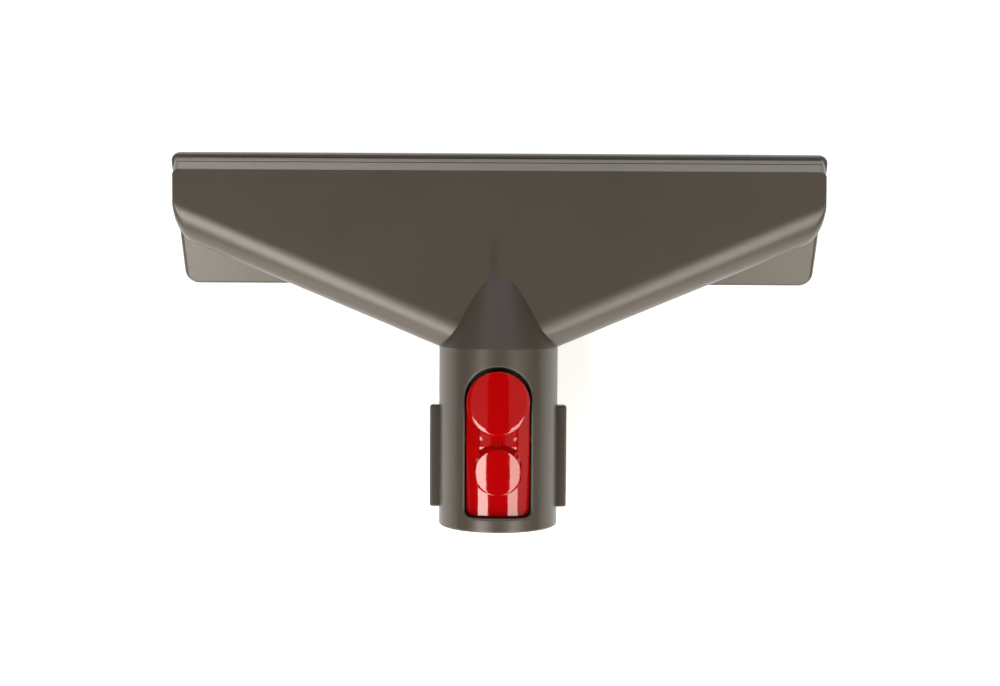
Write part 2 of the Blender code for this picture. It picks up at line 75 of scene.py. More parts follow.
mouth = next(m for m in frame["record"]["mounts"] if m["name"] == "neck_mouth")
hinge = next(j for j in frame["joints"] if j["name"] == "catch_rock")
tilt = math.asin(-mouth["axis"][2])
turn = Matrix.Rotation(tilt, 4, "X")
place = Vector(hinge["pos_m"]) - turn @ Vector((0, -PIVOT_PLACE, PIVOT_HEIGHT))
NECK = Matrix.Translation(place) @ turn
SOLE_IN_NECK = Matrix.Translation(
    (
        0,
        FAN_REACH + FRONT_WALL * math.sin(SOLE_ANGLE),
        HALF_THICKNESS - FRONT_WALL * math.cos(SOLE_ANGLE),
    )
) @ Matrix.Rotation(SOLE_ANGLE, 4, "X")
print("neck tilted", round(math.degrees(tilt), 3), "degrees, crease at", place)

# %% [markdown]
# ## Forms as lofts
# Nearly every form here is a loft: rings of points, one above the other, joined by faces. A loft
# says exactly where each rounding starts and ends, which a bevel on a cut mesh can't. The simplest
# loft is a prism, which carries one flat outline through some heights.

# %% Lofts and prisms
def to_object(name, bm):
    """Turns a mesh under construction into an object of the scene."""
    mesh = bpy.data.meshes.new(name)
    bm.to_mesh(mesh)
    bm.free()
    made = bpy.data.objects.new(name, mesh)
    bpy.context.scene.collection.objects.link(made)
    return made


def loft(name, rings, ring_closed=False):
    """A closed skin through rings of equally many points, capped unless the rings close up."""
    bm = bmesh.new()
    rows = [[bm.verts.new(point) for point in ring] for ring in rings]
    pairs = list(zip(rows, rows[1:]))
    if ring_closed:
        pairs.append((rows[-1], rows[0]))
    for lower, upper in pairs:
        for i in range(len(lower)):
            j = (i + 1) % len(lower)
            bm.faces.new((lower[i], lower[j], upper[j], upper[i]))
    if not ring_closed:
        bm.faces.new(rows[0])
        bm.faces.new(rows[-1])
    bmesh.ops.remove_doubles(bm, verts=bm.verts, dist=0.0001 * MM)
    bmesh.ops.recalc_face_normals(bm, faces=bm.faces)
    return to_object(name, bm)


def level(outline, height):
    """A flat outline at one height."""
    return [(x, y, height) for x, y in outline]


def prism(name, outline, *heights):
    """An upright form that carries one outline through some heights."""
    return loft(name, [level(outline, height) for height in heights])


print("lofts and prisms are ready")

# %% [markdown]
# ## One way to cut them
# Where two forms meet, an exact Boolean makes the crease. It is worked out at once, so the next cut
# starts from plain mesh and the tool can go.

# %% Cuts
def plain_mesh(thing):
    """The mesh of an object as its modifiers leave it."""
    bpy.context.view_layer.update()
    graph = bpy.context.evaluated_depsgraph_get()
    return bpy.data.meshes.new_from_object(thing.evaluated_get(graph))


def combine(target, tool, operation):
    """Cuts or joins with one exact Boolean, and takes the tool away."""
    modifier = target.modifiers.new("combine", "BOOLEAN")
    modifier.operation = operation
    modifier.solver = "EXACT"
    modifier.object = tool
    mesh = plain_mesh(target)
    target.modifiers.clear()
    target.data = mesh
    bpy.data.objects.remove(tool, do_unlink=True)
    return target


print("cuts are ready")

# %% [markdown]
# ## The fan of the shell
# The real shell is injection moulded in one shot: a flat box, wide and shallow, whose two swept
# rear edges are half round. Its outline, stacked from underside to face, is moved in by as much as
# the half round asks at each height, so the whole fan is one loft. The same loft, moved in by the
# wall, is its hollow. The front wall leans out towards a short upright foot over the sole: it
# looks up a little, and that is why the camera sees it as a light strip.

# %% The fan's outline
NECK_RADIUS = 19.0 * MM
FAN_WIDTH = 205.0 * MM
FAN_SWEEP = math.radians(22.6)


def arc(centre, radius, start, end, steps):
    """Points of an arc in a plane, both ends included."""
    angles = [start + (end - start) * i / steps for i in range(steps + 1)]
    return [(centre[0] + radius * math.cos(a), centre[1] + radius * math.sin(a)) for a in angles]


def fan_outline(inset, half_width, corner, front, steps=14):
    """The fan from above, with its swept edges moved in by an inset."""
    rear = inset / math.cos(FAN_SWEEP) - NECK_RADIUS * math.tan(FAN_SWEEP)
    swing = math.pi / 2 - FAN_SWEEP
    wall_end = rear + half_width * math.tan(FAN_SWEEP) + corner * math.tan(swing / 2)
    left = arc((corner - half_width, wall_end), corner, math.pi, math.pi + swing, steps)
    right = [(-x, y) for x, y in reversed(left)]
    return [(-half_width, front), *left, (0, rear), *right, (half_width, front)]


print("fan", FAN_WIDTH / MM, "mm wide, swept", round(math.degrees(FAN_SWEEP), 1), "degrees")

# %% The fan as a loft
FAN_CORNER = 9.0 * MM
FACE_CORNER = 1.5 * MM
SIDE_ROUND = 0.6 * MM


def fan_form(name, offset, levels=60):
    """The fan as a solid with every face moved in by an offset."""
    radius = HALF_THICKNESS - offset
    rings = []
    for i in range(levels + 1):
        angle = math.pi * (i / levels - 0.5)
        height = radius * math.sin(angle)
        rise = max(0, abs(height) - radius + SIDE_ROUND)
        narrow = SIDE_ROUND - math.sqrt(max(0, SIDE_ROUND**2 - rise**2))
        inset = offset + radius * (1 - math.cos(angle))
        corner = FACE_CORNER + (FAN_CORNER - FACE_CORNER - offset) * math.cos(angle)
        half = FAN_WIDTH / 2 - offset - narrow
        outline = fan_outline(inset, half, corner, FAN_REACH + 2 * FAN_THICKNESS)
        rings.append(level(outline, height))
    return loft(name, rings)


shell = fan_form("shell_moulding", 0)
print("fan", len(shell.data.polygons), "faces")

# %% Trim it in front
FRONT_CORNER = 1.9 * MM
CLEARANCE = 0.3 * MM
FRONT_FOOT = 1.42 * MM
FRONT_FOOT_HEIGHT = 0.86 * MM
FRONT_LEAN = math.atan2(FRONT_FOOT, FRONT_WALL - FRONT_FOOT_HEIGHT)


def rounded_rectangle(half, rear, front, rear_corner, front_corner, steps=12):
    """A rectangle with its middle on the Y axis, with one radius at the rear and one in front."""
    quarter = math.pi / 2
    rear_y, front_y = rear + rear_corner, front - front_corner
    return [
        *arc((rear_corner - half, rear_y), rear_corner, -2 * quarter, -quarter, steps),
        *arc((half - rear_corner, rear_y), rear_corner, -quarter, 0, steps),
        *arc((half - front_corner, front_y), front_corner, 0, quarter, steps),
        *arc((front_corner - half, front_y), front_corner, quarter, 2 * quarter, steps),
    ]


def leaning_trim(name):
    """What trims the shell in front: a wall that leans out to a short foot over the sole."""
    levels = (
        (CLEARANCE, FRONT_FOOT),
        (FRONT_FOOT_HEIGHT, FRONT_FOOT),
        (FRONT_WALL, 0),
        (3 * FAN_REACH, 0),
    )
    rear = -2 * FAN_REACH
    rings = []
    for height, front in levels:
        outline = rounded_rectangle(FAN_WIDTH / 2, rear, front, FRONT_CORNER, FRONT_CORNER)
        rings.append(level(outline, height))
    made = loft(name, rings)
    made.data.transform(SOLE_IN_NECK)
    return made


combine(shell, leaning_trim("shell_trim"), "INTERSECT")
print("trimmed fan", len(shell.data.polygons), "faces")

# %% [markdown]
# ## Cone, neck and bore
# The cone and the neck are round, so their profiles are turned about the neck's axis. The cone
# runs on inside the fan, and where its surface leaves the fan's face the Boolean leaves the arched
# crease of the hood. The bore follows the same profile inside the wall, with a flat on the catch
# side and a small lead-in at the mouth.

# %% Join the cone and the neck to the fan
NECK_LENGTH = 57.3 * MM
NECK_STEPS = 180
CONE_TAPER = math.radians(20.7)
CONE_BURIED = 6.0 * MM
MOUTH_ROUND = 0.8 * MM


def turned(name, profile):
    """A profile of (radius, distance from the crease) turned about the neck's axis."""
    angles = [2 * math.pi * i / NECK_STEPS for i in range(NECK_STEPS)]
    rings = [[(r * math.sin(a), -y, r * math.cos(a)) for a in angles] for r, y in profile]
    return loft(name, rings)


def neck_profile(radius, rim):
    """Cone and neck with a rim of their own at the mouth."""
    cone_length = (NECK_RADIUS - HALF_THICKNESS) / math.tan(CONE_TAPER) + CONE_BURIED
    return [(radius - cone_length * math.tan(CONE_TAPER), -cone_length), (radius, 0), *rim]


rim_centre = (NECK_RADIUS - MOUTH_ROUND, NECK_LENGTH - MOUTH_ROUND)
rim = arc(rim_centre, MOUTH_ROUND, 0, math.pi / 2, 8)
combine(shell, turned("neck_outside", neck_profile(NECK_RADIUS, rim)), "UNION")
print("fan with its neck", len(shell.data.polygons), "faces")

# %% Hollow the fan and bore the neck
FAN_WALL = 1.8 * MM
INSIDE_CORNER = 0.4 * MM
NECK_WALL = 3.0 * MM
MOUTH_LEAD_IN = 0.5 * MM
BORE_RADIUS = NECK_RADIUS - NECK_WALL
POCKET_FLOOR = 11.8 * MM
FLOOR_THICKNESS = 1.6 * MM
BORE_FLAT = POCKET_FLOOR - FLOOR_THICKNESS
BORE_FLAT_START = 3.0 * MM


def sole_prism(name, outline, low, high):
    """A flat outline on the sole's plane, given its thickness and moved to the neck's frame."""
    made = prism(name, outline, low, high)
    made.data.transform(SOLE_IN_NECK)
    return made


def trimmed_fan(name, offset, low, high, levels=30):
    """The fan's form behind its front wall and between two heights over the sole."""
    half = FAN_WIDTH / 2 - offset
    corner = max(FRONT_CORNER - offset, INSIDE_CORNER)
    outline = rounded_rectangle(half, -2 * FAN_REACH, -offset, FRONT_CORNER, corner)
    form = fan_form(name, offset, levels)
    return combine(form, sole_prism(name + "_trim", outline, low, high), "INTERSECT")


def block(name, low, high, rounding=0.0):
    """A box between two corners, with its edges rounded."""
    bm = bmesh.new()
    bmesh.ops.create_cube(bm, size=1)
    low, high = Vector(low), Vector(high)
    bm.transform(Matrix.Translation((low + high) / 2) @ Matrix.Diagonal((*(high - low), 1)))
    if rounding:
        edges = bm.edges[:]
        bmesh.ops.bevel(bm, geom=edges, offset=rounding, segments=6, profile=0.5, affect="EDGES")
    return to_object(name, bm)


combine(shell, trimmed_fan("fan_hollow", FAN_WALL, -FAN_WALL, 3 * FAN_REACH), "DIFFERENCE")
lead_in = [
    (BORE_RADIUS, NECK_LENGTH - MOUTH_LEAD_IN),
    (BORE_RADIUS + MOUTH_LEAD_IN, NECK_LENGTH),
    (BORE_RADIUS + MOUTH_LEAD_IN, NECK_LENGTH + NECK_WALL),
]
bore = turned("bore", neck_profile(BORE_RADIUS, lead_in))
flat = block(
    "bore_flat",
    (-NECK_RADIUS, -2 * NECK_LENGTH, BORE_FLAT),
    (NECK_RADIUS, -BORE_FLAT_START, 2 * NECK_RADIUS),
)
combine(bore, flat, "DIFFERENCE")
combine(shell, bore, "DIFFERENCE")
print("shell with its neck", len(shell.data.polygons), "faces")

# %% [markdown]
# ## The pocket and its rounded rim
# The catch sits in a pocket with one arched end. A sharp rim would look cut with a knife, and the
# real one shows a thin light line all round, so the rim is rounded. The rim's curve lies on the
# round neck, so the rounding is cut with a thin bar whose section is worked out afresh at every
# point from the two walls that meet there.

# %% Cut the pocket
POCKET_WIDTH = 20.6 * MM
POCKET_START = 5.5 * MM
POCKET_END = 52.8 * MM
POCKET_CORNER = 2.2 * MM


def pocket_outline():
    """The pocket from above, arched towards the fan, with even steps along its straight parts."""
    half = POCKET_WIDTH / 2
    corner = POCKET_CORNER
    end = corner - POCKET_END
    quarter = math.pi / 2
    top = -POCKET_START - half
    side = [(-half, top + (end - top) * i / 30) for i in range(1, 30)]
    foot = [((corner - half) * (1 - i / 12), end - corner) for i in range(1, 24)]
    return [
        *arc((0, top), half, 0, 2 * quarter, 48),
        *side,
        *arc((corner - half, end), corner, 2 * quarter, 3 * quarter, 8),
        *foot,
        *arc((half - corner, end), corner, 3 * quarter, 4 * quarter, 8),
        *[(-x, y) for x, y in reversed(side)],
    ]


combine(shell, prism("pocket", pocket_outline(), POCKET_FLOOR, 2 * NECK_RADIUS), "DIFFERENCE")
print("the pocket's outline has", len(pocket_outline()), "points")

# %% Round its rim
POCKET_RIM = 0.6 * MM
RIM_OVER = 1.0 * MM


def fillet_section(edge, first, second, radius, over, steps=6):
    """The corner of a section that a rounding takes away, between two walls by their normals."""
    centre = edge - (first + second) * (radius / (1 + first.dot(second)))
    points = [centre + first.slerp(second, i / steps) * radius for i in range(steps + 1)]
    outside = [points[-1] + second * over, edge + (first + second) * over, points[0] + first * over]
    return [*points, *outside]


def rounding_bar(name, edges, radius, over, ring_closed):
    """A bar along an edge, from (point, normal, normal) at each place."""
    rings = [fillet_section(*edge, radius, over) for edge in edges]
    return loft(name, rings, ring_closed)


def rim_edges():
    """The pocket's rim on the round neck: each point, the way into the pocket and the way out."""
    points = pocket_outline()
    edges = []
    for i, (x, y) in enumerate(points):
        before, after = Vector(points[i - 1]), Vector(points[(i + 1) % len(points)])
        along = (after - before).normalized()
        into = Vector((-along.y, along.x, 0))
        height = math.sqrt(NECK_RADIUS**2 - x**2)
        edges.append((Vector((x, y, height)), into, Vector((x, 0, height)).normalized()))
    return edges


combine(shell, rounding_bar("pocket_rim", rim_edges(), POCKET_RIM, RIM_OVER, True), "DIFFERENCE")
print("shell with its pocket", len(shell.data.polygons), "faces")

# %% Cut the window of the hook and the seats of the trunnions
CATCH_SIDE_GAP = 0.45 * MM
CATCH_WIDTH = POCKET_WIDTH - 2 * CATCH_SIDE_GAP
HOOK_WIDTH = 6.0 * MM
HOOK_START = 46.0 * MM
HOOK_LENGTH = 3.6 * MM
HOOK_GAP = 0.8 * MM
TRUNNION_RADIUS = 1.0 * MM
TRUNNION_REACH = 0.9 * MM


def bar_across(name, section, half_length):
    """A bar along X that carries one section of (y, z) points from side to side."""
    return loft(name, [[(x, y, z) for y, z in section] for x in (-half_length, half_length)])


def circle(centre, radius, steps):
    """Points of a full circle in a plane."""
    return arc(centre, radius, 0, 2 * math.pi, steps)[:-1]


def cross_rod(name, radius, length, steps=32):
    """A round bar across the neck on the pivot's line."""
    return bar_across(name, circle((-PIVOT_PLACE, PIVOT_HEIGHT), radius, steps), length / 2)


window_half = HOOK_WIDTH / 2 + CATCH_SIDE_GAP
window = block(
    "hook_window",
    (-window_half, -HOOK_START - HOOK_LENGTH - HOOK_GAP, BORE_FLAT - FLOOR_THICKNESS),
    (window_half, HOOK_GAP - HOOK_START, POCKET_FLOOR + FLOOR_THICKNESS),
)
combine(shell, window, "DIFFERENCE")
seat_length = CATCH_WIDTH + 2 * (TRUNNION_REACH + CATCH_SIDE_GAP)
combine(shell, cross_rod("seats", TRUNNION_RADIUS + CLEARANCE, seat_length), "DIFFERENCE")
print("shell with its window", len(shell.data.polygons), "faces")

# %% [markdown]
# ## The front edge, the rails and the post
# A moulded edge is never quite sharp, and the edge along the front is the longest highlight on the
# part, so it gets its own rounding bar. A fine groove runs along the front wall, and a low foot
# under the wall closes the gap to the sole's lip. The two rails that guide the nozzle on its wand
# are rounded blocks sunk in the neck's wall. The post under the thumb pad keeps the spring in
# place. Last, weighted normals keep the large faces flat and let the narrow roundings shine.

# %% Round the front edge and cut the groove
FRONT_ROUND = 0.6 * MM
FRONT_OVER = 2.0 * MM
GROOVE_PLACE = 3.55 * MM
GROOVE_WIDTH = 0.34 * MM
GROOVE_DEPTH = 0.35 * MM
GROOVE_OVER = 0.3 * MM

face_out = Vector((0, 0, 1))
front_angle = SOLE_ANGLE + FRONT_LEAN
front_out = Vector((0, math.cos(front_angle), math.sin(front_angle)))
front_down = Vector((0, math.sin(front_angle), -math.cos(front_angle)))
front_edge = Vector((0, FAN_REACH, HALF_THICKNESS))
ends = [front_edge + Vector((x, 0, 0)) for x in (-FAN_WIDTH, FAN_WIDTH)]
front_edges = [(end, face_out, front_out) for end in ends]
front_bar = rounding_bar("front_round", front_edges, FRONT_ROUND, FRONT_OVER, False)
combine(shell, front_bar, "DIFFERENCE")
groove_top = front_edge + front_down * GROOVE_PLACE
groove = []
for side, over in ((-1, GROOVE_OVER), (0, -GROOVE_DEPTH), (1, GROOVE_OVER)):
    aside = side * GROOVE_WIDTH / 2 * (1 + over / GROOVE_DEPTH)
    groove.append((groove_top + front_down * aside + front_out * over)[1:])
combine(shell, bar_across("groove", groove, FAN_WIDTH), "DIFFERENCE")
print("shell with its groove", len(shell.data.polygons), "faces")

# %% Add the foot, the rails and the post
FOOT_INSET = 0.35 * MM
FOOT_SETBACK = FOOT_INSET / 4
FOOT_CORNER = 1.2 * MM
FOOT_REACH = 0.5 * MM
RAIL_START = 18.8 * MM
RAIL_LENGTH = 32.7 * MM
RAIL_REACH = 2.9 * MM
RAIL_HEIGHT = 5.0 * MM
RAIL_ROUND = 0.7 * MM
SPRING_PLACE = 14.0 * MM
SPRING_RADIUS = 2.2 * MM
SPRING_WIRE = 0.3 * MM
POST_HEIGHT = 1.0 * MM


def add_shells(target, *others):
    """Joins closed shells that overlap into one object, with no cut."""
    bm = bmesh.new()
    for thing in (target, *others):
        bm.from_mesh(thing.data)
    bm.to_mesh(target.data)
    bm.free()
    for thing in others:
        bpy.data.objects.remove(thing, do_unlink=True)
    return target


def finished(thing, matrix, sharp=18):
    """Places the mesh, shades it smooth up to its sharp edges and weights its normals."""
    mesh = thing.data
    mesh.transform(matrix)
    mesh.shade_smooth()
    mesh.set_sharp_from_angle(angle=math.radians(sharp))
    weigh = thing.modifiers.new("weigh", "WEIGHTED_NORMAL")
    weigh.keep_sharp = True
    thing.data = plain_mesh(thing)
    thing.modifiers.clear()
    thing.data.name = thing.name
    print(thing.name, len(thing.data.vertices), "vertices", len(thing.data.polygons), "faces")
    return thing


foot_half = FAN_WIDTH / 2 - FOOT_INSET
foot_front = FRONT_FOOT - FOOT_SETBACK
foot_outline = rounded_rectangle(foot_half, 0, foot_front, FOOT_SETBACK, FOOT_CORNER)
front_foot = sole_prism("front_foot", foot_outline, -FOOT_REACH, FOOT_REACH)

rails = []
for side in (-1, 1):
    inner = side * (NECK_RADIUS - NECK_WALL / 2)
    outer = side * (NECK_RADIUS + RAIL_REACH)
    rails.append(
        block(
            "rail",
            (min(inner, outer), -RAIL_START - RAIL_LENGTH, -RAIL_HEIGHT / 2),
            (max(inner, outer), -RAIL_START, RAIL_HEIGHT / 2),
            RAIL_ROUND,
        )
    )
post_section = circle((0, -SPRING_PLACE), SPRING_RADIUS - SPRING_WIRE - CLEARANCE, 32)
post = prism(
    "post", post_section, POCKET_FLOOR - FLOOR_THICKNESS / 2, POCKET_FLOOR + POST_HEIGHT
)
add_shells(shell, front_foot, *rails, post)
finished(shell, NECK)

# %% [markdown]
# ## The sole plate
# The sole is a long plate with a full round edge all the way round, like a spatula: it stands
# proud of the shell in front and shows as a thin lip. Rounded rectangles of changing size, stacked
# along half a circle, make that edge. The upstand that locates the plate in the shell and the
# suction slot with its softened lips are added and cut afterwards.

# %% The plate with its round edge
SOLE_WIDTH = 207.7 * MM
SOLE_LENGTH = 48.05 * MM
SOLE_THICKNESS = 3.0 * MM
SOLE_LEDGE = 2.3 * MM
SOLE_FRONT_CORNER = 3.0 * MM
SOLE_REAR_CORNER = 4.5 * MM
SOLE_EDGE_FLAT = 0.2 * MM
SOLE_EDGE_ROUND = (SOLE_THICKNESS - SOLE_EDGE_FLAT) / 2


def sole_ring(inset, height):
    """The plate's outline moved in by an inset, at a height."""
    outline = rounded_rectangle(
        SOLE_WIDTH / 2 - inset,
        SOLE_LEDGE - SOLE_LENGTH + inset,
        SOLE_LEDGE - inset,
        SOLE_REAR_CORNER - inset,
        SOLE_FRONT_CORNER - inset,
    )
    return level(outline, height)


edge_steps = 8
rings = []
for step in range(edge_steps + 1):
    angle = math.pi / 2 * (step / edge_steps - 1)
    height = SOLE_EDGE_ROUND * (1 + math.sin(angle)) - SOLE_THICKNESS
    rings.append(sole_ring(SOLE_EDGE_ROUND * (1 - math.cos(angle)), height))
for step in range(edge_steps + 1):
    angle = math.pi / 2 * step / edge_steps
    height = SOLE_EDGE_ROUND * (math.sin(angle) - 1)
    rings.append(sole_ring(SOLE_EDGE_ROUND * (1 - math.cos(angle)), height))
sole = loft("sole_moulding", rings)
sole.data.transform(SOLE_IN_NECK)
print("sole", len(sole.data.polygons), "faces")

# %% Its upstand and its slot
SOLE_FLOOR = 1.8 * MM
RIM_WALL = 1.6 * MM
RIM_HEIGHT = 3.0 * MM
SLOT_LENGTH = 184.0 * MM
SLOT_WIDTH = 13.0 * MM
SLOT_CORNER = 5.0 * MM
SLOT_SETBACK = 7.0 * MM
SLOT_LIP = 0.6 * MM


def slot_ring(grow, height):
    """The slot's outline moved out by as much as it grows, at a height."""
    outline = rounded_rectangle(
        SLOT_LENGTH / 2 + grow,
        -SLOT_SETBACK - SLOT_WIDTH - grow,
        grow - SLOT_SETBACK,
        SLOT_CORNER + grow,
        SLOT_CORNER + grow,
    )
    return level(outline, height)


rim_inset = FAN_WALL + CLEARANCE
combine(sole, trimmed_fan("rim", rim_inset, -SOLE_THICKNESS / 2, RIM_HEIGHT), "UNION")
space_floor = SOLE_FLOOR - SOLE_THICKNESS
space = trimmed_fan("space", rim_inset + RIM_WALL, space_floor, RIM_HEIGHT + SOLE_THICKNESS)
combine(sole, space, "DIFFERENCE")

lip_steps = 6
rings = [slot_ring(SLOT_LIP, -2 * SOLE_THICKNESS)]
for step in range(lip_steps + 1):
    angle = math.pi / 2 * step / lip_steps
    height = SLOT_LIP * (1 - math.cos(angle)) - SOLE_THICKNESS
    rings.append(slot_ring(SLOT_LIP * (1 - math.sin(angle)), height))
rings.append(slot_ring(0, SOLE_THICKNESS))
slot = loft("slot", rings)
slot.data.transform(SOLE_IN_NECK)
combine(sole, slot, "DIFFERENCE")
finished(sole, NECK)

# %% [markdown]
# ## Ribs across the slot, with Geometry Nodes
# Thin ribs keep cloth from being drawn into the slot. They repeat at even steps, which is what
# instancing is for: a line of points, one small box on each, then Realize Instances so that the
# result is ordinary mesh. The tree has named inputs for the sizes, and each is set through its
# socket's identifier.

# %% Helpers for nodes
def add(tree, kind, sockets=None, **settings):
    """Adds one node with its settings, the values of its sockets and what feeds them."""
    node = tree.nodes.new(kind)
    for name, value in settings.items():
        setattr(node, name, value)
    for name, value in (sockets or {}).items():
        socket = node.inputs[name]
        if isinstance(value, bpy.types.NodeSocket):
            tree.links.new(value, socket)
        else:
            socket.default_value = value
    return node


def geometry_tree(name, inputs):
    """An empty tree with a geometry output and the inputs, named with their kinds of socket."""
    tree = bpy.data.node_groups.new(name, "GeometryNodeTree")
    tree.interface.new_socket("Geometry", in_out="OUTPUT", socket_type="NodeSocketGeometry")
    for label, kind in inputs.items():
        tree.interface.new_socket(label, in_out="INPUT", socket_type="NodeSocket" + kind)
    return tree, tree.nodes.new("NodeGroupInput"), tree.nodes.new("NodeGroupOutput")


def finish_tree(tree, geometry, given, result):
    """Turns instances into mesh, gives it the named finish and sends it out."""
    real = add(tree, "GeometryNodeRealizeInstances", {"Geometry": geometry})
    dressed = add(
        tree,
        "GeometryNodeSetMaterial",
        {"Geometry": real.outputs["Geometry"], "Material": given.outputs["Finish"]},
    )
    tree.links.new(dressed.outputs["Geometry"], result.inputs["Geometry"])


print("helpers for nodes are ready")

# %% The tree of ribs
tree, given, result = geometry_tree(
    "ribs_across_a_slot",
    {"Ribs": "Int", "Spacing": "Float", "Rib size": "Vector", "Finish": "Material"},
)
gap = add(tree, "ShaderNodeCombineXYZ", {"X": given.outputs["Spacing"]})
steps = add(tree, "ShaderNodeMath", {0: given.outputs["Ribs"], 1: 1.0}, operation="SUBTRACT")
reach = add(
    tree, "ShaderNodeMath", {0: steps.outputs[0], 1: given.outputs["Spacing"]}, operation="MULTIPLY"
)
first = add(tree, "ShaderNodeMath", {0: reach.outputs[0], 1: -0.5}, operation="MULTIPLY")
start = add(tree, "ShaderNodeCombineXYZ", {"X": first.outputs[0]})
line = add(
    tree,
    "GeometryNodeMeshLine",
    {"Count": given.outputs["Ribs"], "Start Location": start.outputs[0], "Offset": gap.outputs[0]},
)
box = add(tree, "GeometryNodeMeshCube", {"Size": given.outputs["Rib size"]})
ribs_on_line = add(
    tree,
    "GeometryNodeInstanceOnPoints",
    {"Points": line.outputs["Mesh"], "Instance": box.outputs["Mesh"]},
)
finish_tree(tree, ribs_on_line.outputs["Instances"], given, result)
RIB_TREE = tree
print("rib tree has", len(tree.nodes), "nodes")

# %% [markdown]
# ## The spring, with Geometry Nodes
# A compression spring is wire wound along a helix, so it is a spiral curve given a round section.
# The tree takes the coil's radius, its turns, its height and the wire, and the caps are filled
# so that the wire is closed at both ends.

# %% The tree of the spring
COIL_STEPS = 40
WIRE_STEPS = 16

tree, given, result = geometry_tree(
    "wire_spring",
    {
        "Turns": "Float",
        "Coil radius": "Float",
        "Height": "Float",
        "Wire radius": "Float",
        "Finish": "Material",
    },
)
helix = add(
    tree,
    "GeometryNodeCurveSpiral",
    {
        "Resolution": COIL_STEPS,
        "Rotations": given.outputs["Turns"],
        "Start Radius": given.outputs["Coil radius"],
        "End Radius": given.outputs["Coil radius"],
        "Height": given.outputs["Height"],
    },
)
wire = add(
    tree,
    "GeometryNodeCurvePrimitiveCircle",
    {"Resolution": WIRE_STEPS, "Radius": given.outputs["Wire radius"]},
)
coil = add(
    tree,
    "GeometryNodeCurveToMesh",
    {"Curve": helix.outputs["Curve"], "Profile Curve": wire.outputs["Curve"], "Fill Caps": True},
)
finish_tree(tree, coil.outputs["Mesh"], given, result)
SPRING_TREE = tree
print("spring tree has", len(tree.nodes), "nodes")

# %% [markdown]
# ## The face of the red catch
# The catch is a rocker: the thumb presses the large round pad, and the hook at the other end leaves
# the wand. Its polished face is a set of bent mirrors, so every border of a reflection in it tells
# a height or a slope. The plate is a crown about the neck's own axis, level beside the thumb pad
# and then sloping down to the mouth, with a shallow scoop between the two pads. One function gives
# its height anywhere, and a row of sections follows it.

# %% Heights of the plate's face
CATCH_END_GAP = 0.3 * MM
CATCH_END = POCKET_END - CATCH_END_GAP
PLATE_TOP = 17.8 * MM
PLATE_CROWN = 17.8 * MM
RAMP_START = 30.6 * MM
RAMP_DROP = 1.3 * MM
SCOOP_WIDTH = 12.4 * MM
SCOOP_START = 20.0 * MM
SCOOP_END = 36.0 * MM
SCOOP_DEPTH = 0.7 * MM
SCOOP_WALL = 0.5 * MM
DIMPLE_PLACE = 28.8 * MM
DIMPLE_REACH = 1.5 * MM
DIMPLE_DEPTH = 0.15 * MM
DIMPLE_POWER = 8


def eased(value):
    """A smooth step from 0 to 1."""
    value = min(max(value, 0), 1)
    return value * value * (3 - 2 * value)


def plate_height(place):
    """Height of the crown's middle along the catch."""
    return PLATE_TOP - RAMP_DROP * max(0, place - RAMP_START) / (CATCH_END - RAMP_START)


def face_height(x, place):
    """Height of the plate's face, with the scoop between the pads and its dimpled corners."""
    height = plate_height(place) - PLATE_CROWN + math.sqrt(PLATE_CROWN**2 - x**2)
    if SCOOP_START < place < SCOOP_END:
        inside = (SCOOP_WIDTH / 2 - abs(x)) / SCOOP_WALL
        near = 1 - abs(place - DIMPLE_PLACE) / DIMPLE_REACH
        corner = min(1, abs(x) / (SCOOP_WIDTH / 2)) ** DIMPLE_POWER
        height -= (SCOOP_DEPTH + DIMPLE_DEPTH * corner * eased(near)) * eased(inside)
    return height


print("lower end of the face at", round(plate_height(CATCH_END) / MM, 2), "mm")

# %% The plate as a row of sections
DISC_UNDERSIDE = 14.4 * MM
PLATE_UNDERSIDE = 12.6 * MM
PLATE_START = 17.2 * MM
PLATE_STEP = 24.0 * MM
PLATE_CORNER = 1.8 * MM
PLATE_ROUND = 0.22 * MM
STATION_STEP = 0.01 * MM


def plate_section(place, half, drop, bottom):
    """A section of the plate with rounded shoulders, from the bottom round to the bottom."""
    edge = (half - PLATE_ROUND) * PLATE_CROWN / (PLATE_CROWN - PLATE_ROUND)
    lean = math.asin(edge / PLATE_CROWN)
    middle_top = plate_height(place) - drop
    low = middle_top - PLATE_CROWN * (1 - math.cos(lean)) - PLATE_ROUND * math.cos(lean)
    right = arc((half - PLATE_ROUND, low), PLATE_ROUND, 0, math.pi / 2 - lean, 5)
    wall_top, wall_foot = SCOOP_WIDTH / 2, SCOOP_WIDTH / 2 - SCOOP_WALL
    places = [edge + (wall_top - edge) * i / 6 for i in range(1, 6)]
    places += [wall_top - SCOOP_WALL * i / 10 for i in range(11)]
    places += [wall_foot * (1 - i / 16) for i in range(1, 16)]
    right += [(x, face_height(x, place) - drop) for x in places]
    left = [(-x, z) for x, z in reversed(right)]
    middle = (0, face_height(0, place) - drop)
    ring = [(half, bottom), *right, middle, *left, (-half, bottom)]
    return [(x, -place, z) for x, z in ring]


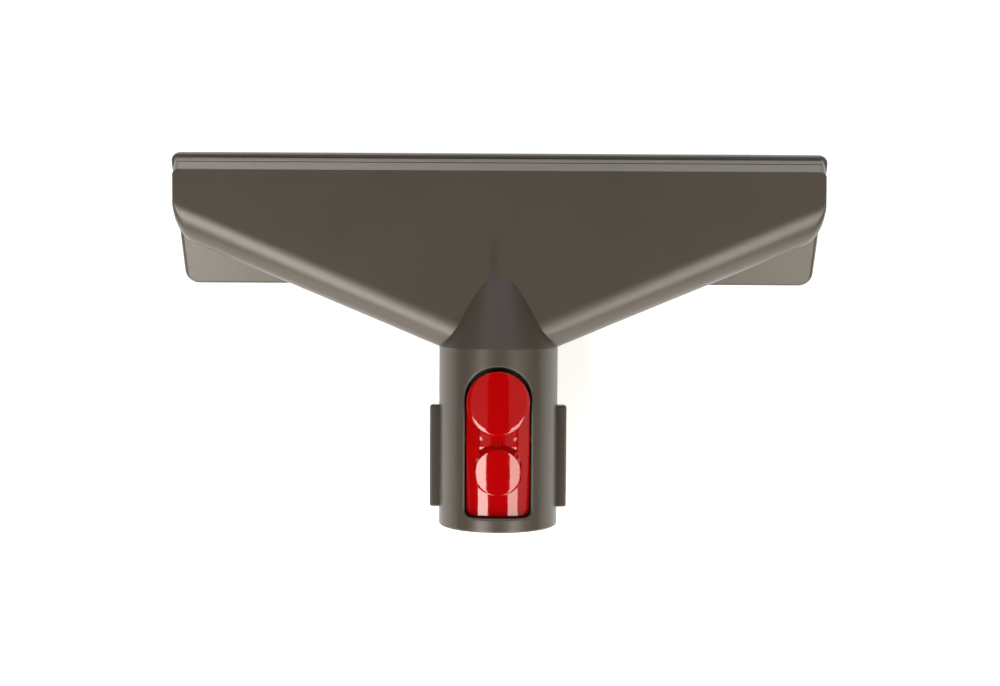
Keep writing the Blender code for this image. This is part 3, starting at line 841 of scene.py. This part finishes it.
half = CATCH_WIDTH / 2
end_steps = 12
sections = []
for place in (PLATE_START, SCOOP_START, SCOOP_START + STATION_STEP, PLATE_STEP - STATION_STEP):
    sections.append(plate_section(place, half, 0, DISC_UNDERSIDE))
stations = [PLATE_STEP + (SCOOP_END - PLATE_STEP) * i / 60 for i in range(60)]
stations += [SCOOP_END - STATION_STEP, SCOOP_END]
ramp_length = CATCH_END - PLATE_CORNER - SCOOP_END
stations += [SCOOP_END + ramp_length * i / 20 for i in range(1, 20)]
sections += [plate_section(place, half, 0, PLATE_UNDERSIDE) for place in stations]
for i in range(end_steps + 1):
    angle = math.pi / 2 * i / end_steps
    place = CATCH_END - PLATE_CORNER * (1 - math.sin(angle))
    over = max(0, place - CATCH_END + PLATE_ROUND)
    drop = PLATE_ROUND - math.sqrt(max(0, PLATE_ROUND**2 - over**2))
    narrow = PLATE_CORNER * (1 - math.cos(angle))
    sections.append(plate_section(place, half - narrow, drop, PLATE_UNDERSIDE))
catch = loft("catch_moulding", sections)
print("plate", len(catch.data.polygons), "faces")

# %% [markdown]
# ## The two pads
# Each pad is a stack of rings: a crowned top, a narrow sloping band, a rounded rim and a wall. The
# small pad leans towards the mouth, so its upper edge stands well clear of the scoop and runs down
# to it in a sloping skirt, while its lower edge is nearly flush. The skirt looks at the dark part
# of the room, so it shows as a dark red ring. The pads only overlap the plate, and where no cut is
# made, no shading can go wrong.

# %% How a pad is made
DISC_BAND_SLOPE = math.radians(14.0)
SKIRT_FULL = 1.3
SKIRT_LEAST = 0.02 * MM
SKIRT_PROBE = 1.1
SKIRT_OVERLAP = 0.01 * MM
TOP_RINGS = 14


def crowned_pad(name, radius, centre, top, crown, slope, rim, band=0.0, skirt=0.0, steps=120):
    """A round pad whose top is part of a large cylinder along the neck.

    A skirt slopes from its rim to the plate, by so much reach for each unit of height. That height
    is measured a little outside the rim. The skirt gets steeper towards the sides.
    """
    around = [2 * math.pi * i / steps for i in range(steps)]
    fall = band * math.tan(DISC_BAND_SLOPE)

    def point(angle, reach, drop):
        x, y = reach * math.cos(angle), reach * math.sin(angle)
        height = top - crown + math.sqrt(crown**2 - x**2) + y * math.tan(slope)
        return Vector((x, y - centre, height - drop))

    def ring(reach, drop):
        return [point(angle, reach, drop) for angle in around]

    edges = ring(radius, fall + rim)
    rings = []
    if skirt:
        feet = []
        for angle, edge in zip(around, edges):
            beside = face_height(edge.x * SKIRT_PROBE, centre - (edge.y + centre) * SKIRT_PROBE)
            high = max(SKIRT_LEAST, edge.z - beside)
            share = min(1, SKIRT_FULL * abs(math.sin(angle)))
            foot = point(angle, radius + skirt * share * high + SKIRT_OVERLAP, 0)
            foot.z = min(edge.z, face_height(foot.x, -foot.y)) - SKIRT_OVERLAP
            feet.append(foot)
        rings.append([(foot.x, foot.y, DISC_UNDERSIDE) for foot in feet])
        rings.append(feet)
    else:
        rings.append([(edge.x, edge.y, DISC_UNDERSIDE) for edge in edges])
    for inset, height in arc((0, 0), rim, 0, math.pi / 2, 6):
        rings.append(ring(radius - rim + inset, fall + rim - height))
    flat = radius - rim - band
    rings.append(ring(flat, 0))
    for i in range(TOP_RINGS - 1, 0, -1):
        rings.append(ring(flat * (i - 0.5) / TOP_RINGS, 0))
    return loft(name, rings)


full_from = math.degrees(math.asin(1 / SKIRT_FULL))
print("a skirt is full from", round(full_from), "degrees off the side")

# %% The two pads
DISC_CENTRE = 16.7 * MM
DISC_RADIUS = 9.85 * MM
DISC_TOP = 19.4 * MM
DISC_CROWN = 26.0 * MM
DISC_BAND = 0.5 * MM
DISC_ROUND = 0.12 * MM
LATCH_CENTRE = 38.5 * MM
LATCH_RADIUS = 7.2 * MM
LATCH_TOP = 17.72 * MM
LATCH_CROWN = 21.3 * MM
LATCH_ROUND = 0.12 * MM
LATCH_SLOPE = math.radians(5.5)
LATCH_SKIRT = 1.35
SPRING_SEAT = 16.6 * MM

thumb_pad = crowned_pad(
    "thumb_pad", DISC_RADIUS, DISC_CENTRE, DISC_TOP, DISC_CROWN, 0, DISC_ROUND, band=DISC_BAND
)
recess_section = circle((0, -SPRING_PLACE), SPRING_RADIUS + SPRING_WIRE + 2 * CLEARANCE, 40)
recess = prism("recess", recess_section, PLATE_UNDERSIDE, SPRING_SEAT)
combine(thumb_pad, recess, "DIFFERENCE")
latch_pad = crowned_pad(
    "latch_pad",
    LATCH_RADIUS,
    LATCH_CENTRE,
    LATCH_TOP,
    LATCH_CROWN,
    LATCH_SLOPE,
    LATCH_ROUND,
    skirt=LATCH_SKIRT,
)
print("pads", len(thumb_pad.data.polygons), "and", len(latch_pad.data.polygons), "faces")

# %% Trunnions and hook
HOOK_TIP = 1.1 * MM
HOOK_DEPTH = 1.6 * MM

trunnions = cross_rod("trunnions", TRUNNION_RADIUS, CATCH_WIDTH + 2 * TRUNNION_REACH)

hook_side = [
    (-HOOK_START, BORE_FLAT - HOOK_DEPTH),
    (-HOOK_START, PLATE_UNDERSIDE + CLEARANCE),
    (-HOOK_START - HOOK_LENGTH, PLATE_UNDERSIDE + CLEARANCE),
    (-HOOK_START - HOOK_LENGTH, BORE_FLAT),
    (-HOOK_START - HOOK_TIP, BORE_FLAT - HOOK_DEPTH),
]
hook = bar_across("hook", hook_side, HOOK_WIDTH / 2)
add_shells(catch, thumb_pad, latch_pad, trunnions, hook)
finished(catch, NECK)

# %% [markdown]
# ## Colours and empty materials
# Screens and paint charts give colours in sRGB, but a shader works with linear light. One function
# turns a hex value into what the shader wants, and every colour below goes through it. Another
# starts each material with an empty tree and the coordinates that its patterns follow. A noise
# pattern mostly stays in one range of values, and that range has a name too.

# %% Colour and material helpers
SHELL_COLOUR = "#433c35"
NOISE_RANGE = {"From Min": 0.3, "From Max": 0.7}


def linear(hex_colour):
    """An sRGB hex colour as linear red, green, blue and alpha."""
    values = [int(hex_colour[i : i + 2], 16) / 255 for i in (1, 3, 5)]
    return (*[v / 12.92 if v <= 0.04045 else ((v + 0.055) / 1.055) ** 2.4 for v in values], 1)


def empty_material(name):
    """A material with an empty tree, and the object coordinates in it."""
    material = bpy.data.materials.new(name)
    material.use_nodes = True
    tree = material.node_tree
    tree.nodes.clear()
    return material, tree, add(tree, "ShaderNodeTexCoord").outputs["Object"]


print("grey-brown in linear light:", [round(v, 4) for v in linear(SHELL_COLOUR)])

# %% [markdown]
# ## Moulded ABS, grey-brown
# ABS is an opaque plastic with a refractive index near 1.54. The tool that moulds this shell is
# lightly eroded, so the surface has a fine satin grain of about a third of a millimetre that
# spreads the highlights without hiding them. A faint cloudiness, some centimetres across, is the
# flow of the pigment. A darker streak above the hood is painted shade: it stands for the shade of a
# shallow sink mark where the melt met. The sole comes from a smoother tool, so its grain is
# shallower.

# %% ABS material
ABS_IOR = 1.54
CLOUD_SIZE = 26 * MM
GRAIN_SIZE = 0.35 * MM
SATIN_SPREAD = 0.05
# Painted shade: a darker oval streak above the hood stands for the shade of a shallow sink mark.
SINK_SHADE_PLACE = (-1.7 * MM, 26 * MM, 0)
SINK_SHADE_HALF_WIDTH = 2.6 * MM
SINK_SHADE_HALF_LENGTH = 13 * MM
PAINTED_SINK_SHADE = 0.78


def moulded_abs(name, colour, roughness, grain_depth, painted_shade=1.0):
    """Moulded ABS with an eroded satin grain and, where the melt met, a darker streak of painted
    shade for a sink mark.
    """
    material, tree, where = empty_material(name)
    cloud = add(
        tree, "ShaderNodeTexNoise", {"Vector": where, "Scale": 1 / CLOUD_SIZE, "Detail": 2.0}
    )
    tone = add(
        tree,
        "ShaderNodeMapRange",
        {"Value": cloud.outputs[0], **NOISE_RANGE, "To Min": 0.95, "To Max": 1.05},
    )
    # Painted shade: the colour is darkened in an oval above the hood, where a sink mark's shade
    # would fall.
    beside = add(tree, "ShaderNodeVectorMath", {0: where, 1: SINK_SHADE_PLACE}, operation="SUBTRACT")
    oval = add(
        tree,
        "ShaderNodeVectorMath",
        {0: beside.outputs[0], 1: (1 / SINK_SHADE_HALF_WIDTH, 1 / SINK_SHADE_HALF_LENGTH, 0)},
        operation="MULTIPLY",
    )
    reach = add(tree, "ShaderNodeVectorMath", {0: oval.outputs[0]}, operation="LENGTH")
    sink_shade = add(
        tree,
        "ShaderNodeMapRange",
        {"Value": reach.outputs["Value"], "To Min": painted_shade, "To Max": 1.0},
        interpolation_type="SMOOTHSTEP",
    )
    shade = add(
        tree, "ShaderNodeMath", {0: tone.outputs[0], 1: sink_shade.outputs[0]}, operation="MULTIPLY"
    )
    tinted = add(
        tree,
        "ShaderNodeVectorMath",
        {0: linear(colour)[:3], "Scale": shade.outputs[0]},
        operation="SCALE",
    )
    grain = add(
        tree,
        "ShaderNodeTexNoise",
        {"Vector": where, "Scale": 1 / GRAIN_SIZE, "Detail": 3.0, "Roughness": 0.6},
    )
    satin = add(
        tree,
        "ShaderNodeMapRange",
        {
            "Value": grain.outputs[0],
            **NOISE_RANGE,
            "To Min": roughness - SATIN_SPREAD,
            "To Max": roughness + SATIN_SPREAD,
        },
    )
    relief = add(
        tree,
        "ShaderNodeBump",
        {"Height": grain.outputs[0], "Strength": 1.0, "Distance": grain_depth},
    )
    plastic = add(
        tree,
        "ShaderNodeBsdfPrincipled",
        {
            "Base Color": tinted.outputs[0],
            "Roughness": satin.outputs[0],
            "IOR": ABS_IOR,
            "Normal": relief.outputs[0],
        },
    )
    add(tree, "ShaderNodeOutputMaterial", {"Surface": plastic.outputs[0]})
    return material


shell_abs = moulded_abs("moulded_abs_satin", SHELL_COLOUR, 0.34, 0.02 * MM, PAINTED_SINK_SHADE)
sole_abs = moulded_abs("moulded_abs_smooth", "#3f3932", 0.31, 0.008 * MM)
print("made", shell_abs.name, "and", sole_abs.name)

# %% [markdown]
# ## Polished ABS, red
# The catch is moulded in a polished tool. It mirrors the lamps with sharp borders, so its roughness
# is very low, and a slow waviness of about a hundredth of a millimetre bends those borders a
# little, as plastic that shrank while cooling does.

# %% Red material
WAVE_SIZE = 2.5 * MM
WAVE_DEPTH = 0.012 * MM


def polished_abs(name, colour):
    """ABS from a polished tool, with the slow waviness of shrinkage."""
    material, tree, where = empty_material(name)
    wave = add(
        tree, "ShaderNodeTexNoise", {"Vector": where, "Scale": 1 / WAVE_SIZE, "Detail": 1.0}
    )
    relief = add(
        tree,
        "ShaderNodeBump",
        {"Height": wave.outputs[0], "Strength": 1.0, "Distance": WAVE_DEPTH},
    )
    mist = add(
        tree,
        "ShaderNodeMapRange",
        {"Value": wave.outputs[0], **NOISE_RANGE, "To Min": 0.05, "To Max": 0.09},
    )
    plastic = add(
        tree,
        "ShaderNodeBsdfPrincipled",
        {
            "Base Color": linear(colour),
            "Roughness": mist.outputs[0],
            "IOR": ABS_IOR,
            "Normal": relief.outputs[0],
        },
    )
    add(tree, "ShaderNodeOutputMaterial", {"Surface": plastic.outputs[0]})
    return material


red_abs = polished_abs("polished_abs_red", "#9e0002")
print("made", red_abs.name)

# %% [markdown]
# ## Drawn spring wire
# Spring wire is pulled through dies, which leaves fine lines along it and a bright, slightly
# blurred shine. The lines are a tenth of a millimetre apart and only break the highlight up.

# %% Spring material
LINE_SIZE = 0.1 * MM


def drawn_steel(name):
    """Bright drawn steel wire."""
    material, tree, where = empty_material(name)
    lines = add(
        tree, "ShaderNodeTexNoise", {"Vector": where, "Scale": 1 / LINE_SIZE, "Detail": 2.0}
    )
    shine = add(
        tree,
        "ShaderNodeMapRange",
        {"Value": lines.outputs[0], **NOISE_RANGE, "To Min": 0.22, "To Max": 0.36},
    )
    steel = add(
        tree,
        "ShaderNodeBsdfPrincipled",
        {"Base Color": linear("#c2c3c6"), "Metallic": 1.0, "Roughness": shine.outputs[0]},
    )
    add(tree, "ShaderNodeOutputMaterial", {"Surface": steel.outputs[0]})
    return material


wire_steel = drawn_steel("drawn_spring_steel")
print("made", wire_steel.name)

# %% [markdown]
# ## Dress the pieces
# Each piece gets its finish, takes the place of its plain solid and rides with the body that the
# solid belongs to. The ribs and the spring are grown now that their finishes exist. The spring
# stays with the neck.

# %% Grow the ribs and the spring
SLOT_RIBS = 3
RIB_WIDTH = 1.6 * MM
RIB_RECESS = 0.9 * MM
SPRING_TURNS = 4.5


def grown(name, tree, values, matrix):
    """The mesh that a tree makes from its named values, put in place as an object."""
    seed = bpy.data.objects.new(name, bpy.data.meshes.new(name))
    bpy.context.scene.collection.objects.link(seed)
    modifier = seed.modifiers.new("grow", "NODES")
    modifier.node_group = tree
    for item in tree.interface.items_tree:
        if item.in_out == "INPUT":
            modifier[item.identifier] = values[item.name]
    mesh = plain_mesh(seed)
    seed.modifiers.clear()
    seed.data = mesh
    mesh.name = name
    mesh.transform(matrix)
    print(name, len(mesh.polygons), "faces")
    return seed


slot_middle = -SLOT_SETBACK - SLOT_WIDTH / 2
rib_middle = RIB_RECESS - SOLE_THICKNESS / 2
ribs = grown(
    "slot_ribs",
    RIB_TREE,
    {
        "Ribs": SLOT_RIBS,
        "Spacing": SLOT_LENGTH / (SLOT_RIBS + 1),
        "Rib size": (RIB_WIDTH, SLOT_WIDTH + 2 * RIB_WIDTH, SOLE_THICKNESS),
        "Finish": sole_abs,
    },
    NECK @ SOLE_IN_NECK @ Matrix.Translation((0, slot_middle, rib_middle)),
)
spring_low = POCKET_FLOOR + CLEARANCE + SPRING_WIRE
spring_high = SPRING_SEAT - CLEARANCE - SPRING_WIRE
spring = grown(
    "spring_coil",
    SPRING_TREE,
    {
        "Turns": SPRING_TURNS,
        "Coil radius": SPRING_RADIUS,
        "Height": spring_high - spring_low,
        "Wire radius": SPRING_WIRE,
        "Finish": wire_steel,
    },
    NECK @ Matrix.Translation((0, -SPRING_PLACE, spring_low)),
)
spring.data.shade_smooth()


def hang(piece, material, body, slot, *nodes):
    """Gives a piece its finish and its place in the moving model."""
    piece.data.materials.clear()
    piece.data.materials.append(material)
    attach(piece, body)
    if nodes:
        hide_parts(*nodes)


hang(shell, shell_abs, "nozzle", "body", "body_shell")
hang(sole, sole_abs, "nozzle", "sole", "sole_plate")
hang(ribs, sole_abs, "nozzle", "sole")
hang(catch, red_abs, "catch", "catch", "release_catch")
hang(spring, wire_steel, "nozzle", "spring", "catch_spring")
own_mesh(spring)

# %% [markdown]
# ## The table and the light
# The nozzle was photographed on a white table under two softboxes that hang left and right above
# the near end, with the room straight above left dark. Their reflections draw the crowns of the red
# catch. Dim panels, the spill of the softboxes on the ceiling, shade the sides of the thumb pad,
# and a cool one at the back tints the hood. Low panels along the far wall light the front wall of
# the shell, and those along the near wall light what slopes to the mouth. The table glows with
# painted light, most under the nozzle and more in front of its sole, where its shadows fall, which
# keeps its white clean of hard shadows.

# %% The table and its painted glow
TABLE_SIZE = 6
# The table's glow is painted light: full near the nozzle, fading between POOL_START and POOL_END,
# and stronger in front of the sole, where the head's shadow falls.
POOL_START = 0.16
POOL_END = 0.4
POOL_LEAST = 0.25
AHEAD_START = 0.04
AHEAD_END = 0.07
GLOW_UNDER = 0.43
GLOW_AHEAD = 0.95

bpy.ops.mesh.primitive_plane_add(size=TABLE_SIZE)
table = bpy.context.object
table.name = "table"


def white_with_painted_glow(name):
    """White acrylic with a painted glow that fades away from the nozzle and is stronger in front of
    its sole, where its shadows fall.
    """
    material, tree, where = empty_material(name)
    away = add(tree, "ShaderNodeVectorMath", {0: where}, operation="LENGTH")
    pool = add(
        tree,
        "ShaderNodeMapRange",
        {
            "Value": away.outputs["Value"],
            "From Min": POOL_START,
            "From Max": POOL_END,
            "To Min": 1.0,
            "To Max": POOL_LEAST,
        },
        interpolation_type="SMOOTHSTEP",
    )
    parts = add(tree, "ShaderNodeSeparateXYZ", {0: where})
    ahead = add(
        tree,
        "ShaderNodeMapRange",
        {
            "Value": parts.outputs["Y"],
            "From Min": AHEAD_START,
            "From Max": AHEAD_END,
            "To Min": GLOW_UNDER,
            "To Max": GLOW_AHEAD,
        },
        interpolation_type="SMOOTHSTEP",
    )
    # Painted glow on the table, which fills the nozzle's shadows under it and in front of its sole.
    glow = add(
        tree, "ShaderNodeMath", {0: pool.outputs[0], 1: ahead.outputs[0]}, operation="MULTIPLY"
    )
    acrylic = add(
        tree,
        "ShaderNodeBsdfPrincipled",
        {
            "Base Color": linear("#f0f0ef"),
            "Roughness": 0.9,
            "Specular IOR Level": 0.2,
            "Emission Color": (1, 1, 1, 1),
            "Emission Strength": glow.outputs[0],
        },
    )
    add(tree, "ShaderNodeOutputMaterial", {"Surface": acrylic.outputs[0]})
    return material


table.data.materials.append(white_with_painted_glow("acrylic_with_painted_glow"))
print("made the table with", table.data.materials[0].name)

# %% Lamps
WARM = (1.0, 0.965, 0.875)
COOL = (0.61, 0.68, 1.0)
WORLD_GLOW = 0.03
# Name, lower and upper corner in metres, brightness, and the colour unless it is warm
LAMPS = (
    ("softbox_left", (-0.9, -2.6, 1.0), (-0.375, -0.24, 1.0), 11.6),
    ("softbox_right", (0.375, -2.6, 1.0), (0.9, -0.24, 1.0), 8.2),
    ("spill_left", (-0.9, -0.24, 1.0), (-0.26, 0.6, 1.0), 0.28),
    ("spill_right", (0.26, -0.24, 1.0), (0.9, 0.6, 1.0), 0.28),
    ("panel_right", (0.95, -1.2, 1.0), (2.6, 0.8, 1.0), 0.6),
    ("panel_back", (-0.9, 0.7, 1.0), (0.9, 1.6, 1.0), 1.0, COOL),
    ("near_wall_left", (-3.0, -4.5, 0.02), (-0.5, -4.5, 1.0), 4.2),
    ("near_wall_right", (0.5, -4.5, 0.02), (3.0, -4.5, 1.0), 3.2),
    ("far_wall_left", (-2.4, 3.0, 0.02), (-0.1, 3.0, 0.7), 8.4),
    ("far_wall_right", (0.1, 3.0, 0.02), (2.4, 3.0, 0.7), 6.2),
)


def softbox(name, low, high, radiance, colour=WARM):
    """An even panel between two corners, level or standing, that faces the nozzle."""
    low, high = Vector(low), Vector(high)
    size = high - low
    lamp = bpy.data.lights.new(name, "AREA")
    lamp.shape = "RECTANGLE"
    lamp.size = size.x
    lamp.size_y = size.y + size.z
    lamp.color = colour
    lamp.energy = radiance * math.pi * lamp.size * lamp.size_y
    holder = bpy.data.objects.new(name, lamp)
    holder.location = (low + high) / 2
    if size.z:
        holder.rotation_euler.x = math.copysign(math.pi / 2, -low.y)
    bpy.context.scene.collection.objects.link(holder)
    print(name, round(lamp.energy, 2), "W")


for lamp_row in LAMPS:
    softbox(*lamp_row)

world = bpy.data.worlds.new("studio")
bpy.context.scene.world = world
world.use_nodes = True
background = world.node_tree.nodes["Background"]
background.inputs["Color"].default_value = (1, 1, 1, 1)
background.inputs["Strength"].default_value = WORLD_GLOW

# %% [markdown]
# ## The camera
# The photograph looks straight down from half a metre, with the neck falling three degrees towards
# its mouth. The model's neck falls less than one degree as it lies, so the camera leans the rest.
# The nozzle is a third of a degree off level in the picture.

# %% Camera
NECK_FALL = math.radians(3.12)
LEAN = NECK_FALL - tilt
ROLL = math.radians(0.3)
DISTANCE = 495.6 * MM
EYE_UP_PICTURE = 1.06 * MM
EYE_RIGHT = 0.45 * MM
SENSOR_WIDTH = 36.0
LENS_PER_SENSOR = 1.543

view_out = Vector((0, math.sin(LEAN), math.cos(LEAN)))
view_down = Vector((0, -math.cos(LEAN), math.sin(LEAN)))
eye = NECK.translation - view_down * EYE_UP_PICTURE + view_out * DISTANCE
eye += Vector((EYE_RIGHT, 0, 0))
axes = Matrix((Vector((1, 0, 0)), -view_down, view_out)).transposed().to_4x4()
lens = bpy.data.cameras.new("camera")
lens.sensor_width = SENSOR_WIDTH
lens.lens = SENSOR_WIDTH * LENS_PER_SENSOR
camera = bpy.data.objects.new("camera", lens)
camera.matrix_world = Matrix.Translation(eye) @ axes @ Matrix.Rotation(ROLL, 4, "Z")
bpy.context.scene.collection.objects.link(camera)
bpy.context.scene.camera = camera
bpy.context.scene.view_settings.view_transform = "Standard"
print("camera at", [round(v, 4) for v in eye])
